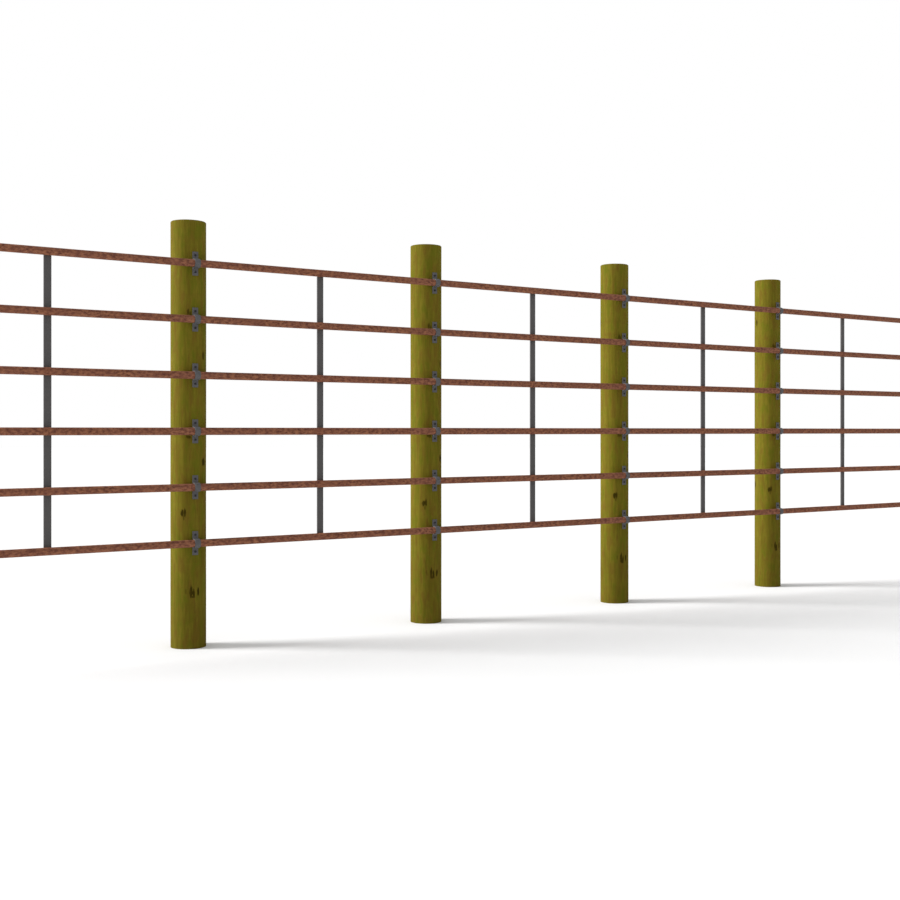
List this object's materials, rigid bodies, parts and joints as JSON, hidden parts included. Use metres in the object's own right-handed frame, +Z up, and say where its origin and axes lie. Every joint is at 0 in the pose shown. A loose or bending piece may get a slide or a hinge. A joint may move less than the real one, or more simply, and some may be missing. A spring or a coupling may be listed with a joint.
{
  "type": "continuous fence panel",
  "caption": "Livestock fence panel of horizontal tube rails with welded stays, held by strap clips on round timber posts, with slip connectors for the next panel.",
  "frame": {"origin": "bottom centre of the assembly's box, on the ground under the middle of the fence", "axes": "+X along the rails towards the connectors, +Y from the rails to the posts, +Z up"},
  "size_m": [6.1732, 0.1878, 1.8288],
  "materials": {
    "rail_steel": "weathered, rust brown",
    "stay_steel": "dark mill scale",
    "weld_metal": "as welded",
    "connector_steel": "bare, lightly oiled",
    "treated_timber": "pressure treated, olive green, knotty",
    "clip_steel": "dark grey, dull",
    "screw_steel": "black"
  },
  "bodies": {
    "posts": {"post_1": "treated_timber", "post_2": "treated_timber", "post_3": "treated_timber", "post_4": "treated_timber", "clip_post_1_rail_1": "clip_steel", "clip_post_1_rail_2": "clip_steel", "clip_post_1_rail_3": "clip_steel", "clip_post_1_rail_4": "clip_steel", "clip_post_1_rail_5": "clip_steel", "clip_post_1_rail_6": "clip_steel", "clip_post_2_rail_1": "clip_steel", "clip_post_2_rail_2": "clip_steel", "clip_post_2_rail_3": "clip_steel", "clip_post_2_rail_4": "clip_steel", "clip_post_2_rail_5": "clip_steel", "clip_post_2_rail_6": "clip_steel", "clip_post_3_rail_1": "clip_steel", "clip_post_3_rail_2": "clip_steel", "clip_post_3_rail_3": "clip_steel", "clip_post_3_rail_4": "clip_steel", "clip_post_3_rail_5": "clip_steel", "clip_post_3_rail_6": "clip_steel", "clip_post_4_rail_1": "clip_steel", "clip_post_4_rail_2": "clip_steel", "clip_post_4_rail_3": "clip_steel", "clip_post_4_rail_4": "clip_steel", "clip_post_4_rail_5": "clip_steel", "clip_post_4_rail_6": "clip_steel", "screws_post_1": "screw_steel", "screws_post_2": "screw_steel", "screws_post_3": "screw_steel", "screws_post_4": "screw_steel"},
    "panel": {"rail_1": "rail_steel", "rail_2": "rail_steel", "rail_3": "rail_steel", "rail_4": "rail_steel", "rail_5": "rail_steel", "rail_6": "rail_steel", "stay_1": "stay_steel", "stay_2": "stay_steel", "stay_3": "stay_steel", "stay_4": "stay_steel", "stay_5": "stay_steel", "welds_stay_1": "weld_metal", "welds_stay_2": "weld_metal", "welds_stay_3": "weld_metal", "welds_stay_4": "weld_metal", "welds_stay_5": "weld_metal"},
    "connector_1": {"connector_1": "connector_steel"},
    "connector_2": {"connector_2": "connector_steel"},
    "connector_3": {"connector_3": "connector_steel"},
    "connector_4": {"connector_4": "connector_steel"},
    "connector_5": {"connector_5": "connector_steel"},
    "connector_6": {"connector_6": "connector_steel"}
  },
  "joints": [
    {"name": "panel_float", "type": "slide", "parent": "posts", "child": "panel", "axis": [1, 0, 0], "range_m": [-0.025, 0.025]},
    {"name": "connector_1_slip", "type": "slide", "parent": "panel", "child": "connector_1", "axis": [1, 0, 0], "range_m": [0, 0.05]},
    {"name": "connector_2_slip", "type": "slide", "parent": "panel", "child": "connector_2", "axis": [1, 0, 0], "range_m": [0, 0.05]},
    {"name": "connector_3_slip", "type": "slide", "parent": "panel", "child": "connector_3", "axis": [1, 0, 0], "range_m": [0, 0.05]},
    {"name": "connector_4_slip", "type": "slide", "parent": "panel", "child": "connector_4", "axis": [1, 0, 0], "range_m": [0, 0.05]},
    {"name": "connector_5_slip", "type": "slide", "parent": "panel", "child": "connector_5", "axis": [1, 0, 0], "range_m": [0, 0.05]},
    {"name": "connector_6_slip", "type": "slide", "parent": "panel", "child": "connector_6", "axis": [1, 0, 0], "range_m": [0, 0.05]}
  ]
}
